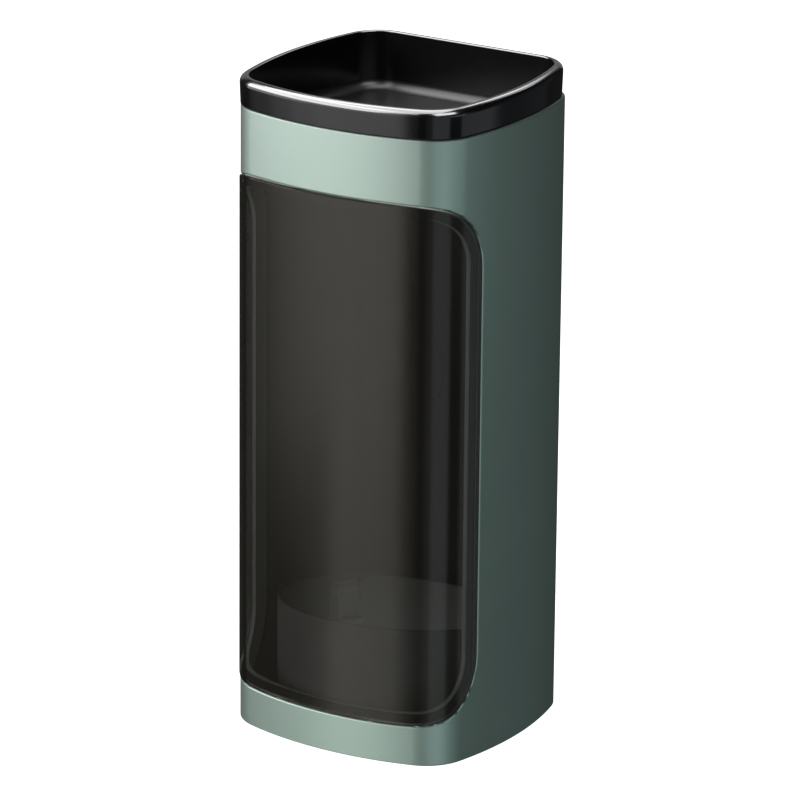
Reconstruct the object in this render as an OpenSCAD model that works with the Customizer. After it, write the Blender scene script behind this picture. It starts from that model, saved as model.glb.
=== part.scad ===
// Wall-hung cup dispenser: a tall bowed shell with a smoked wrap-round window, a lift-off tray
// as its lid, and a throat collar whose sprung fingers hold the lowest cup by its rim.
// Millimetres, +Z up, front towards -Y, origin at the middle of the underside.

/* [Shell] */
// Width across the bowed sides
body_w = 96; // [94:1:104]
// Depth from the window's face to the wall pads
body_d = 92; // [91:1:100]
// Height of the shell alone
shell_h = 221; // [200:1:260]
// Wall of the shell
wall = 1.5; // [1.2:0.1:1.8]
// Radius of the bowed front
front_bow_r = 113; // [105:1:150]
// Radius of the bowed sides
side_bow_r = 131; // [120:1:180]
// Radius of the front corners
front_corner_r = 17; // [15:0.5:20]
// Radius of the rear corners
rear_corner_r = 15; // [13:0.5:17]

/* [Window] */
// Height of the window's lower edge
win_bottom = 14.2; // [13:0.2:24]
// Distance of the window's upper edge below the shell's top edge
win_drop = 23; // [20:1:60]
// How far the window wraps back from the shell's foremost line
win_wrap = 25; // [20:0.5:40]
// Radius of the window's two rear corners
win_corner_r = 23; // [8:1:30]
// Thickness of the tape that bonds the pane to its carrier
tape_t = 0.4; // [0.2:0.1:0.6]
// How far the pane stands proud of the shell
pane_proud = 0.4; // [0.2:0.1:0.8]
// Gap round the pane
pane_gap = 0.4; // [0.2:0.1:0.8]
// Thickness of the carrier frame behind the shell
frame_t = 1.5; // [1:0.1:2]
// Lap of the carrier frame outside the window's edge
frame_lap = 5; // [3:0.5:6]
// Ledge of the carrier frame inside the window's edge
frame_ledge = 3.5; // [2.5:0.5:6]

/* [Lid tray] */
// Height of the tray's band above the shell, at the back
tray_band = 11; // [9:0.5:16]
// Fall of the tray's rim from the back to the front, in degrees
rim_fall = 0.7; // [0:0.1:1.5]
// How far the tray's band stands in from the shell's face
tray_set_in = 0.5; // [0:0.1:0.8]
// How far the tray's band and well lie forward of its plug
tray_forward = 1; // [0:0.1:1]
// Depth of the tray below its rim, at the back
tray_depth = 19.5; // [12:0.5:20]
// Thickness of the tray's rim
rim_t = 3.2; // [3:0.1:5]
// Thickness of the tray's floor
tray_floor_t = 2; // [1.5:0.1:3]

/* [Base] */
// Thickness of the base plate
base_t = 3; // [2.6:0.1:4]
// How far the edge of the base plate's throat stands inside the collar's foot
throat_lip = 0.3; // [0.2:0.1:2]

/* [Collar] */
// Gap between the collar and the back panel, which sets the collar's radius
collar_back_gap = 2.1; // [1.4:0.1:5]
// Wall of the collar
collar_wall = 1.6; // [1.4:0.1:2]
// Height of the collar's rim on its axis
collar_top = 41; // [40:0.5:60]
// Fall of the collar's rim towards the back, in degrees
collar_tilt = 7.6; // [0:0.1:8]
// Gap between the collar and the window's carrier frame
collar_gap = 0.7; // [0.4:0.1:1]
// How far the collar draws in at its foot
collar_draw = 2; // [1.2:0.1:3]

/* [Fingers] */
// Width of a retaining finger
finger_w = 8; // [6:0.5:10]
// Thickness of a finger's strip
finger_t = 1.4; // [1:0.1:1.6]
// Length of a finger below its pivot
finger_len = 13; // [11:0.5:14]
// Reach of the ledge at a finger's foot
finger_foot = 2; // [1.5:0.1:2.5]
// Inward lean of a finger at rest, in degrees
finger_lean = 12; // [8:0.5:14]
// Height of the finger pivots
pivot_z = 34.5; // [33:0.5:35]
// Radius of a finger pin
pin_r = 0.75; // [0.6:0.05:0.9]

/* [Back] */
// Width of the opening in the shell's back
back_open_w = 50; // [49:1:51]
// Height of the back opening's lower edge
back_open_low = 22.5; // [20:0.5:30]
// Distance of the back opening's upper edge below the shell's top edge
back_open_drop = 24; // [23:0.5:30]
// Radius of the back opening's corners
back_open_r = 6; // [3:0.5:10]
// Radius of a magnet
magnet_r = 9; // [6:0.5:9.5]
// Thickness of a magnet
magnet_t = 3; // [2:0.5:3]
// Distance between the two magnets of a row
magnet_pitch = 29; // [26:1:29]
// Distance of each row of magnets from the near end of the back opening
magnet_in = 24; // [14:1:40]
// How far the magnets' pads stand proud of the back
pad_proud = 0.5; // [0.3:0.1:1]
// Height of the keyholes' round entries
keyhole_z = 108; // [90:1:115]
// Distance between the keyholes
keyhole_pitch = 28; // [20:1:32]
// Radius of a keyhole's round entry
keyhole_r = 4.5; // [3.5:0.1:5]
// Half the width of a keyhole's slot
keyslot_r = 2.2; // [1.6:0.1:2.4]
// Thickness of the lip that a wall screw's head hooks behind
keyhole_lip = 1.8; // [1.5:0.1:2.5]
// Depth of the way behind the lip for a wall screw's head
keyhole_depth = 3.4; // [3:0.1:4]

/* [Hidden] */
$fn = 64;
over = 1;

// Colours of the finishes
sage = "#97a795";
smoke = "#3b302b";
black = "#141516";
grey = "#8f918f";
pale = "#c9cac6";
steel = "#b9bcbf";

// The plan outline: bowed front and sides, round corners, flat back
half_w = body_w / 2;
front_y = -body_d / 2 + pane_proud;
back_y = body_d / 2 - pad_proud;
front_c = [0, front_y + front_bow_r];
side_c = [half_w - side_bow_r, 0];
front_k = meet(front_c, front_bow_r - front_corner_r, side_c, side_bow_r - front_corner_r);
rear_k = [side_c[0] + sqrt(pow(side_bow_r - rear_corner_r, 2) - pow(back_y - rear_corner_r, 2)),
    back_y - rear_corner_r];
front_turn = heading(front_c, front_k);
side_turn = heading(side_c, front_k);
rear_turn = heading(side_c, rear_k);
bow_steps = 8;
corner_steps = 10;

// Window, its tape and its carrier frame, from the face inwards
win_top = shell_h - win_drop;
win_back_y = front_y + win_wrap;
pane_in = wall - tape_t;
tape_edge = 0.4;

// Screws of every kind, and the posts that take them
screw_r = 1.25;
screw_head_r = 2.6;
screw_head_h = 1.4;
screw_fit = 0.05;
recess_w = 0.6;
recess_l = 2.8;
recess_h = 0.7;
base_fit = 0.1;
post_r = 4;
post_gap = 0.2;
post_h = win_bottom - frame_lap - post_gap - base_t;
post_bite = 0.8;
post_end = 1;
base_screw_len = base_t + post_h - post_end;
corner_posts = [for (side = [-1, 1]) for (k = [0, 1]) corner_post(side, k)];

// Collar with its foot ring and the posts for its screws, between the frame and the back panel
flange_t = 3;
collar_front_y = front_y + wall + frame_t + collar_gap;
collar_back_y = back_y - wall - flange_t - collar_back_gap;
collar_r = (collar_back_y - collar_front_y) / 2;
collar_y = (collar_back_y + collar_front_y) / 2;
collar_in_r = collar_r - collar_wall;
collar_foot_r = collar_in_r - collar_draw;
throat_r = collar_foot_r - throat_lip;
foot_ring_t = 2;
foot_ring_out = 1.1;
foot_ring_r = collar_r + foot_ring_out;
foot_curve_h = 10;
foot_bulge = 0.3;
collar_post_r = 3;
collar_post_drop = 0.5;
collar_post_h = post_h - collar_post_drop;
collar_post_out = 0.6;
collar_post_at = collar_r + collar_post_out;
collar_post_angles = [60, 120, 240, 300];
collar_screw_len = base_t + collar_post_h - post_end;

// Fingers, their pins and springs, each in the plane through the collar's axis
finger_gap = 0.3;
hub_wall = 0.85;
hub_r = pin_r + hub_wall;
pin_fit = 0.05;
pin_seat = 0.01;
pivot_u = sqrt(pow(collar_in_r, 2) - pow(finger_w / 2, 2)) - hub_r - finger_gap;
foot_h = 2;
foot_chamfer = 0.6;
finger_tail = 2.6;
lug_w = 2.5;
lug_h = 4.4;
lug_bite = 0.4;
lug_out = finger_w / 2 + finger_gap + lug_w;
spring_w = 4;
spring_t = 0.25;
spring_drop = 3.5;
spring_short = 3.5;
spring_len = finger_len - spring_short;
spring_touch = 8;
spring_gap = 0.3;
spring_seat = 0.05;
front_angle = 270;
right_angle = 30;
left_angle = 150;

// Back panel: a flush insert, and a flange behind the shell's wall that the screws draw up
back_open_top = shell_h - back_open_drop;
insert_gap = 0.3;
flange_side = 2.5;
flange_end = 12;
back_post_r = 3.5;
back_post_h = 4;
back_screw_x = 20;
back_screw_in = 6.5;
back_screw_len = 7;
magnet_fit = 0.1;
pad_t = 1;
keyslot_len = 9;
keyhole_wall = 1.5;
keyhole_cover = 1.3;

// Lid tray
tray_gap = 0.3;
tray_fit = 0.3;
tray_z = shell_h + tray_gap;
tray_top = shell_h + tray_band;
tray_floor_z = tray_top - tray_depth;
tray_back_y = back_y - tray_set_in - tray_forward;

// Direction from one point to another, in degrees
function heading(a, b) = atan2(b[1] - a[1], b[0] - a[0]);

// The point ra from a and rb from b, on the right of the way from b to a
function meet(a, ra, b, rb) =
    let (d = b - a, l = norm(d), u = d / l)
    let (t = (ra * ra - rb * rb + l * l) / (2 * l), h = sqrt(ra * ra - t * t))
    a + t * u + h * [-u[1], u[0]];

// Points along an arc, without its first one
function arc(c, r, a0, a1, n) =
    [for (i = [1:n]) c + r * [cos(a0 + (a1 - a0) * i / n), sin(a0 + (a1 - a0) * i / n)]];

// Right half of the plan outline, set in from the shell's face
function half_outline(inset) = concat(
    arc(front_c, front_bow_r - inset, -90, front_turn, bow_steps),
    arc(front_k, front_corner_r - inset, front_turn, side_turn, corner_steps),
    arc(side_c, side_bow_r - inset, side_turn, 0, bow_steps),
    arc(side_c, side_bow_r - inset, 0, rear_turn, bow_steps),
    arc(rear_k, rear_corner_r - inset, rear_turn, 90, corner_steps));

// Whole plan outline, set in from the shell's face
function outline(inset) =
    let (half = half_outline(inset))
    concat(half, [for (i = [len(half) - 1:-1:0]) [-half[i][0], half[i][1]]], [[0, front_y + inset]]);

// Side profile of the window in Y and Z, open to the front, grown by an edge
function window_profile(grow) =
    let (y = win_back_y - win_corner_r, fore = front_y - 2 * win_corner_r)
    concat([[fore, win_bottom - grow]],
        arc([y, win_bottom + win_corner_r], win_corner_r + grow, -90, 0, corner_steps),
        arc([y, win_top - win_corner_r], win_corner_r + grow, 0, 90, corner_steps),
        [[fore, win_top + grow]]);

// Rounded rectangle in X and Z
function panel_outline(w, z0, z1, r) = concat(
    arc([w / 2 - r, z0 + r], r, -90, 0, corner_steps),
    arc([w / 2 - r, z1 - r], r, 0, 90, corner_steps),
    arc([r - w / 2, z1 - r], r, 90, 180, corner_steps),
    arc([r - w / 2, z0 + r], r, 180, 270, corner_steps));

// Place of a screw post in a front or rear corner
function corner_post(side, rear) =
    let (k = rear ? rear_k : front_k, r = rear ? rear_corner_r : front_corner_r, a = rear ? 45 : -45)
    let (p = k + (r - wall - post_r + post_bite) * [cos(a), sin(a)])
    [side * p[0], p[1]];

// Solid slice of the plan outline
module slab(inset, z0, z1) {
    translate([0, 0, z0])
        linear_extrude(z1 - z0)
            polygon(outline(inset));
}

// Upright wall between two set-in outlines
module skin(outer, inner, z0, z1) {
    translate([0, 0, z0])
        linear_extrude(z1 - z0)
            difference() {
                polygon(outline(outer));
                polygon(outline(inner));
            }
}

// The window's side profile, run through the whole width
module window_block(grow) {
    translate([-body_w, 0, 0])
        rotate([90, 0, 90])
            linear_extrude(2 * body_w)
                polygon(window_profile(grow));
}

// Plate in X and Z between two depths
module plate(points, y0, y1) {
    translate([0, y1, 0])
        rotate([90, 0, 0])
            linear_extrude(y1 - y0)
                polygon(points);
}

// Round peg or hole along Y between two depths
module peg(x, z, r, y0, y1) {
    translate([x, y1, z])
        rotate([90, 0, 0])
            cylinder(h = y1 - y0, r = r);
}

// Countersunk screw with a cross recess, head face at the origin, pointing up
module screw(length) {
    difference() {
        union() {
            cylinder(h = screw_head_h, r1 = screw_head_r, r2 = screw_r);
            cylinder(h = length, r = screw_r);
        }
        for (turn = [0, 90])
            rotate([0, 0, turn])
                translate([-recess_l / 2, -recess_w / 2, -over])
                    cube([recess_l, recess_w, recess_h + over]);
    }
}

// Countersunk hole that takes such a screw
module screw_hole(length) {
    cylinder(h = screw_head_h, r1 = screw_head_r + screw_fit, r2 = screw_r + screw_fit);
    translate([0, 0, -over])
        cylinder(h = length + over, r = screw_r + screw_fit);
}

// Places of the screws through the shell's back
module at_back_screws() {
    for (x = [-back_screw_x, back_screw_x])
        for (z = [back_open_low - back_screw_in, back_open_top + back_screw_in])
            translate([x, back_y, z])
                rotate([90, 0, 0])
                    children();
}

// Places of the screws that draw the collar on to the base plate
module at_collar_screws() {
    for (a = collar_post_angles)
        translate([0, collar_y, 0])
            rotate([0, 0, a])
                translate([collar_post_at, 0, 0])
                    children();
}

// Plane of one finger, X outwards from the collar's axis
module at_finger(angle) {
    translate([0, collar_y, 0])
        rotate([0, 0, angle])
            children();
}

// Round bar across a finger's plane, on its pivot
module cross_bar(r, length) {
    translate([pivot_u, 0, pivot_z])
        rotate([90, 0, 0])
            cylinder(h = length, r = r, center = true);
}

module shell() {
    color(sage)
        difference() {
            union() {
                skin(0, wall, 0, shell_h);
                for (p = corner_posts)
                    translate([p[0], p[1], base_t])
                        cylinder(h = post_h, r = post_r);
            }
            window_block(pane_gap);
            plate(panel_outline(back_open_w, back_open_low, back_open_top, back_open_r),
                back_y - wall - over, back_y + over);
            at_back_screws()
                screw_hole(wall + over);
            for (p = corner_posts)
                translate([p[0], p[1], 0])
                    cylinder(h = base_screw_len + post_end / 2, r = screw_r + screw_fit);
        }
}

module window_frame() {
    color(sage)
        difference() {
            intersection() {
                skin(wall, wall + frame_t, 0, shell_h);
                window_block(frame_lap);
            }
            window_block(-frame_ledge);
        }
}

module window_tape() {
    color(black)
        difference() {
            intersection() {
                skin(pane_in, wall, 0, shell_h);
                window_block(-tape_edge);
            }
            window_block(-frame_ledge);
        }
}

module window_pane() {
    color(smoke, 0.6)
        intersection() {
            skin(-pane_proud, pane_in, 0, shell_h);
            window_block(0);
        }
}

module base_plate() {
    color(black)
        difference() {
            slab(wall + base_fit, 0, base_t);
            translate([0, collar_y, -over])
                cylinder(h = base_t + 2 * over, r = throat_r);
            for (p = corner_posts)
                translate([p[0], p[1], 0])
                    screw_hole(base_t + over);
            at_collar_screws()
                screw_hole(base_t + over);
        }
}

module base_screws() {
    color(steel)
        for (p = corner_posts)
            translate([p[0], p[1], 0])
                screw(base_screw_len);
}

module throat_collar() {
    foot_z = base_t + foot_curve_h;
    mid_z = base_t + foot_curve_h / 2;
    color(grey)
        difference() {
            union() {
                translate([0, collar_y, 0])
                    rotate_extrude()
                        polygon([
                            [collar_foot_r, base_t],
                            [foot_ring_r, base_t],
                            [foot_ring_r, base_t + foot_ring_t],
                            [collar_r - collar_draw + foot_bulge, base_t + foot_ring_t],
                            [collar_r - collar_draw / 2 + foot_bulge, mid_z],
                            [collar_r, foot_z],
                            [collar_r, 2 * collar_top],
                            [collar_in_r, 2 * collar_top],
                            [collar_in_r, foot_z],
                            [collar_in_r - collar_draw / 2 + foot_bulge, mid_z]]);
                at_collar_screws()
                    translate([0, 0, base_t])
                        cylinder(h = collar_post_h, r = collar_post_r);
                for (a = [front_angle, right_angle, left_angle])
                    at_finger(a)
                        finger_lugs();
            }
            translate([0, collar_y, collar_top])
                rotate([-collar_tilt, 0, 0])
                    translate([-body_w, -body_d, 0])
                        cube([2 * body_w, 2 * body_d, 2 * collar_top]);
            translate([0, collar_y, base_t - over])
                cylinder(h = collar_post_h + 2 * over, r = collar_foot_r);
            at_collar_screws()
                cylinder(h = collar_screw_len + post_end / 2, r = screw_r + screw_fit);
            for (a = [front_angle, right_angle, left_angle])
                at_finger(a)
                    cross_bar(pin_r + pin_seat, 2 * lug_out);
        }
}

// Two lugs on the collar's inner wall that hold one finger's pin
module finger_lugs() {
    for (side = [-1, 1])
        translate([pivot_u - hub_r, side * (lug_out - lug_w / 2) - lug_w / 2, pivot_z - lug_h / 2])
            cube([collar_in_r + lug_bite - pivot_u + hub_r, lug_w, lug_h]);
}

module collar_screws() {
    color(steel)
        at_collar_screws()
            screw(collar_screw_len);
}

// Sprung finger: a strip on a hub, with a ledge at its foot
module finger(angle) {
    inner = -finger_t / 2;
    tip = inner - finger_foot;
    color(pale)
        at_finger(angle)
            translate([pivot_u, 0, pivot_z])
                rotate([90, 0, 0])
                    linear_extrude(finger_w, center = true)
                        difference() {
                            union() {
                                rotate(-finger_lean)
                                    polygon([
                                        [inner, finger_tail],
                                        [inner, foot_h - finger_len],
                                        [tip, foot_h - finger_len],
                                        [tip, foot_chamfer - finger_len],
                                        [tip + foot_chamfer, -finger_len],
                                        [-inner, -finger_len],
                                        [-inner, finger_tail]]);
                                circle(hub_r);
                            }
                            circle(pin_r + pin_fit);
                        }
}

module finger_front() {
    finger(front_angle);
}

module finger_right() {
    finger(right_angle);
}

module finger_left() {
    finger(left_angle);
}

module finger_pins() {
    color(steel)
        for (a = [front_angle, right_angle, left_angle])
            at_finger(a)
                cross_bar(pin_r, 2 * lug_out);
}

// Hairpin leaf spring: one leg on the collar's wall, one against the finger's back
module leaf_spring(angle) {
    seat = sqrt(pow(collar_in_r, 2) - pow(spring_w / 2, 2)) - spring_seat;
    low = pivot_z - spring_drop - spring_len;
    touch = [pivot_u - spring_touch * sin(finger_lean) + (finger_t / 2 + spring_gap) * cos(finger_lean),
        pivot_z - spring_touch * cos(finger_lean) - (finger_t / 2 + spring_gap) * sin(finger_lean)];
    color(steel)
        at_finger(angle)
            rotate([90, 0, 0])
                linear_extrude(spring_w, center = true)
                    polygon([
                        [seat, low + spring_len],
                        [seat - spring_t, low + spring_len],
                        [seat - spring_t, low + 2 * spring_t],
                        touch + [spring_t, 0],
                        touch,
                        [seat - 2 * spring_t, low],
                        [seat, low]]);
}

module spring_front() {
    leaf_spring(front_angle);
}

module spring_right() {
    leaf_spring(right_angle);
}

module spring_left() {
    leaf_spring(left_angle);
}

// Slot in X and Z from a keyhole's entry up to the slot's end, between two depths
module keyslot(x, r, y0, y1) {
    translate([x, y1, keyhole_z])
        rotate([90, 0, 0])
            linear_extrude(y1 - y0) {
                circle(r);
                translate([-r, 0])
                    square([2 * r, keyslot_len]);
                translate([0, keyslot_len])
                    circle(r);
            }
}

module back_panel() {
    inner_y = back_y - wall - flange_t;
    lip_y = back_y - keyhole_lip;
    way_y = lip_y - keyhole_depth;
    keyhole_xs = [-keyhole_pitch / 2, keyhole_pitch / 2];
    color(black)
        difference() {
            union() {
                plate(panel_outline(back_open_w - 2 * insert_gap, back_open_low + insert_gap,
                    back_open_top - insert_gap, back_open_r - insert_gap), inner_y, back_y);
                plate(panel_outline(back_open_w + 2 * flange_side, back_open_low - flange_end,
                    back_open_top + flange_end, back_open_r), inner_y, back_y - wall);
                at_back_screws()
                    translate([0, 0, wall + flange_t / 2])
                        cylinder(h = flange_t / 2 + back_post_h, r = back_post_r);
                for (x = keyhole_xs)
                    keyslot(x, keyhole_r + keyhole_wall, way_y - keyhole_cover, lip_y);
            }
            at_back_screws()
                screw_hole(back_screw_len + post_end / 2);
            at_magnets(back_y - magnet_t - pad_t + pad_proud)
                cylinder(h = magnet_t + pad_t, r = magnet_r + magnet_fit);
            for (x = keyhole_xs) {
                peg(x, keyhole_z, keyhole_r, way_y, back_y + over);
                keyslot(x, keyhole_r, way_y, lip_y);
                keyslot(x, keyslot_r, way_y, back_y + over);
            }
        }
}

module back_screws() {
    color(steel)
        at_back_screws()
            screw(back_screw_len);
}

// Places of the magnets, pointing backwards from a depth
module at_magnets(y) {
    for (x = [-magnet_pitch / 2, magnet_pitch / 2])
        for (z = [back_open_low + magnet_in, back_open_top - magnet_in])
            translate([x, y, z])
                rotate([-90, 0, 0])
                    children();
}

module magnets() {
    color(steel)
        at_magnets(back_y - magnet_t - pad_t + pad_proud)
            cylinder(h = magnet_t, r = magnet_r);
}

module magnet_pads() {
    color(black)
        at_magnets(back_y - pad_t + pad_proud)
            cylinder(h = pad_t, r = magnet_r);
}

module top_tray() {
    color(black)
        difference() {
            union() {
                translate([0, -tray_forward, 0])
                    slab(tray_set_in, tray_z, tray_top);
                slab(wall + tray_fit, tray_floor_z - tray_floor_t, tray_z + over);
            }
            translate([0, -tray_forward, 0])
                slab(tray_set_in + rim_t, tray_floor_z, tray_top + over);
            translate([0, tray_back_y, tray_top])
                rotate([rim_fall, 0, 0])
                    translate([-body_w, -2 * body_d, 0])
                        cube([2 * body_w, 3 * body_d, tray_band]);
        }
}

shell();
window_frame();
window_tape();
window_pane();
base_plate();
base_screws();
throat_collar();
collar_screws();
finger_front();
finger_right();
finger_left();
finger_pins();
spring_front();
spring_right();
spring_left();
back_panel();
back_screws();
magnets();
magnet_pads();
top_tray();
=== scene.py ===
import math

import bpy
from mathutils import Matrix, Vector


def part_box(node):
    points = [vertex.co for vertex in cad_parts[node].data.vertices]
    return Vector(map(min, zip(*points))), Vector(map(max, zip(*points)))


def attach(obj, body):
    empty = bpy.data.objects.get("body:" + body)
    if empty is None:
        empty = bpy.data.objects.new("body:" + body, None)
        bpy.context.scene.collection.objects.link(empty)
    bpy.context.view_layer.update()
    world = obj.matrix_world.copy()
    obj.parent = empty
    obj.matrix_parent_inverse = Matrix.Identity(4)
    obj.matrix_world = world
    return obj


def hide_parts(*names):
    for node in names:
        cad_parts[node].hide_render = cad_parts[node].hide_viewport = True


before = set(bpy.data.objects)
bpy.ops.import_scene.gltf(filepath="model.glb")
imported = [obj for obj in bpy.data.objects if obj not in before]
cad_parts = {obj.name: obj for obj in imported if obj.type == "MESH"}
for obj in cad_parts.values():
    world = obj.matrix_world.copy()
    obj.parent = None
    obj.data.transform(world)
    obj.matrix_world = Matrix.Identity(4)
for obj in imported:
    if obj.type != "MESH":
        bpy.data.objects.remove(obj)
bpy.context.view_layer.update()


# Shell: a tower of 1.5 mm steel sheet, rolled to a bowed front and sides and welded at its flat back.
# The window and the service opening are punched out, and the sharp edges on the outer face are eased by
# tumbling.
# Outside it has a satin sage metallic lacquer, baked on over the eased edges.
mm = 0.001
shell_low, shell_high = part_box("shell")
half_w = shell_high.x
front_y = shell_low.y
back_y = shell_high.y
shell_h = shell_high.z
wall = 1.5 * mm
front_bow_r = 113 * mm
side_bow_r = 131 * mm
front_corner_r = 17 * mm
rear_corner_r = 15 * mm
edge_r = 0.7 * mm
sharp_angle = 35


def heading(a, b):
    """Direction from one plan point to another, in radians."""
    return math.atan2(b.y - a.y, b.x - a.x)


front_c = Vector((0, front_y + front_bow_r))
side_c = Vector((half_w - side_bow_r, 0))
front_reach = front_bow_r - front_corner_r
side_reach = side_bow_r - front_corner_r
between = side_c - front_c
along = (front_reach ** 2 - side_reach ** 2 + between.length_squared) / (2 * between.length)
across = math.sqrt(front_reach ** 2 - along ** 2)
front_k = front_c + (along * between + across * between.orthogonal()) / between.length
rear_k_y = back_y - rear_corner_r
rear_k = Vector((side_c.x + math.sqrt((side_bow_r - rear_corner_r) ** 2 - rear_k_y ** 2), rear_k_y))
front_turn = heading(front_c, front_k)
side_turn = heading(side_c, front_k)
rear_turn = heading(side_c, rear_k)

# Right half of the plan outline from the front's middle: centre, sweep and steps of each arc
right_half = [
    (front_c, front_turn + math.pi / 2, 16),
    (front_k, side_turn - front_turn, 20),
    (side_c, -side_turn, 12),
    (side_c, rear_turn, 12),
    (rear_k, math.pi / 2 - rear_turn, 18),
]


def one_point(name, place):
    """A new piece of a single point, left open in edit mode."""
    bpy.ops.object.select_all(action="DESELECT")
    bpy.ops.mesh.primitive_plane_add(size=mm)
    piece = bpy.context.object
    piece.name = name
    piece.data.name = name
    bpy.ops.object.mode_set(mode="EDIT")
    bpy.ops.mesh.merge(type="CENTER")
    bpy.ops.transform.translate(value=place)
    return piece


def pull(x, y, z):
    """Extrudes what is selected by a distance."""
    bpy.ops.mesh.extrude_region_move(TRANSFORM_OT_translate={"value": (x, y, z)})


def swing(centre, axis, angle, steps):
    """Runs what is selected round a centre, anticlockwise about the axis."""
    bpy.ops.mesh.spin(steps=steps, angle=-angle, center=centre, axis=axis)


def plan_outline(name, inset, z):
    """The plan outline, set in from the shell's face: one point run round each arc in turn."""
    piece = one_point(name, (0, front_y + inset, z))
    for centre, sweep, steps in right_half:
        swing((centre.x, centre.y, z), (0, 0, 1), sweep, steps)
    pull(-2 * rear_k.x, 0, 0)
    for centre, sweep, steps in reversed(right_half):
        swing((-centre.x, centre.y, z), (0, 0, 1), sweep, steps)
    bpy.ops.mesh.select_all(action="SELECT")
    bpy.ops.mesh.remove_doubles(threshold=0.01 * mm)
    return piece


def close_up():
    """Merges doubles, turns faces outwards and leaves edit mode."""
    bpy.ops.mesh.select_all(action="SELECT")
    bpy.ops.mesh.remove_doubles(threshold=0.002 * mm)
    bpy.ops.mesh.normals_make_consistent(inside=False)
    bpy.ops.object.mode_set(mode="OBJECT")


def pick(piece):
    """Selects one piece alone and makes it the active one."""
    bpy.ops.object.select_all(action="DESELECT")
    piece.select_set(True)
    bpy.context.view_layer.objects.active = piece


def apply(piece, kind, **settings):
    """Adds a modifier with its settings and applies it."""
    pick(piece)
    step = piece.modifiers.new(kind.lower(), kind)
    for name, value in settings.items():
        setattr(step, name, value)
    bpy.ops.object.modifier_apply(modifier=step.name)


def combine(piece, tool, how):
    """Cuts, joins or trims a piece with a tool solid, which is used up."""
    apply(piece, "BOOLEAN", object=tool, operation=how, solver="EXACT")
    bpy.data.objects.remove(tool)


def smooth(piece):
    """Shades the faces as the smooth surface that they stand for."""
    pick(piece)
    bpy.ops.object.shade_smooth()
    apply(piece, "WEIGHTED_NORMAL", mode="FACE_AREA", weight=90, keep_sharp=True)


def ease(piece, width, steps=3, angle=sharp_angle):
    """Rounds all the sharp edges and smooths the piece."""
    apply(piece, "BEVEL", width=width, segments=steps, limit_method="ANGLE",
          angle_limit=math.radians(angle), use_clamp_overlap=False)
    smooth(piece)


def inset_of(point):
    """How far a point lies inside the shell's outer face, measured in plan."""
    spot = Vector((abs(point.x), point.y))
    for centre, radius, turn in ((front_c, front_bow_r, front_turn), (front_k, front_corner_r, side_turn),
                                 (side_c, side_bow_r, rear_turn), (rear_k, rear_corner_r, math.pi / 2)):
        if heading(centre, spot) <= turn:
            return radius - (spot - centre).length
    return back_y - spot.y


def round_outside(piece, width, depth):
    """Rounds a sheet's sharp edges on its outer face, less than a depth inside the plan outline."""
    pick(piece)
    bpy.ops.object.mode_set(mode="EDIT")
    # Short edges that the cuts left would kink the rounding
    bpy.ops.mesh.select_all(action="SELECT")
    bpy.ops.mesh.remove_doubles(threshold=0.1 * mm)
    bpy.ops.mesh.dissolve_limited(angle_limit=math.radians(0.5))
    bpy.ops.mesh.select_mode(type="EDGE")
    bpy.ops.mesh.select_all(action="DESELECT")
    bpy.ops.mesh.edges_select_sharp(sharpness=math.radians(sharp_angle))
    bpy.ops.object.mode_set(mode="OBJECT")
    ends = piece.data.vertices
    for edge in piece.data.edges:
        edge.select = edge.select and all(inset_of(ends[end].co) < depth for end in edge.vertices)
    bpy.ops.object.mode_set(mode="EDIT")
    bpy.ops.transform.edge_bevelweight(value=1)
    bpy.ops.mesh.select_mode(type="VERT")
    bpy.ops.object.mode_set(mode="OBJECT")
    apply(piece, "BEVEL", width=width, segments=5, limit_method="WEIGHT", use_clamp_overlap=False)


def tube(name, inset, thick, z0, z1, finishes):
    """An upright wall along the plan outline, its thickness inwards and its inside in the last finish."""
    piece = plan_outline(name, inset, z0)
    pull(0, 0, z1 - z0)
    close_up()
    for finish in finishes:
        piece.data.materials.append(finish)
    apply(piece, "SOLIDIFY", thickness=thick, offset=-1, use_even_offset=True, use_rim=True,
          material_offset=len(finishes) - 1)
    return piece


def rounded_plate(name, w, z0, z1, r, y0, y1):
    """A plate across X and Z with round corners, between two depths."""
    piece = one_point(name, (w / 2 - r, y0, z0))
    swing((w / 2 - r, y0, z0 + r), (0, -1, 0), math.pi / 2, 10)
    pull(0, 0, z1 - z0 - 2 * r)
    swing((w / 2 - r, y0, z1 - r), (0, -1, 0), math.pi / 2, 10)
    pull(2 * r - w, 0, 0)
    swing((r - w / 2, y0, z1 - r), (0, -1, 0), math.pi / 2, 10)
    pull(0, 0, 2 * r - z1 + z0)
    swing((r - w / 2, y0, z0 + r), (0, -1, 0), math.pi / 2, 10)
    bpy.ops.mesh.select_all(action="SELECT")
    bpy.ops.mesh.edge_face_add()
    pull(0, y1 - y0, 0)
    close_up()
    return piece


def round_bar(name, r0, r1, length, place, axis, steps=48):
    """A round bar or taper from a place along an axis."""
    bpy.ops.object.select_all(action="DESELECT")
    bpy.ops.mesh.primitive_cone_add(vertices=steps, radius1=r0, radius2=r1, depth=length,
                                    location=Vector((0, 0, length / 2)))
    piece = bpy.context.object
    piece.name = name
    bpy.ops.object.transform_apply(location=True, rotation=False, scale=False)
    piece.rotation_mode = "QUATERNION"
    piece.rotation_quaternion = Vector(axis).to_track_quat("Z", "Y")
    piece.location = place
    bpy.ops.object.transform_apply(location=True, rotation=True, scale=False)
    return piece


# The window's opening, wrapped round both front corners
pane_low, pane_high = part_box("window_pane")
win_low = pane_low.z
win_top = pane_high.z
win_back_y = pane_high.y
win_corner_r = 23 * mm
pane_gap = 0.4 * mm


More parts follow.
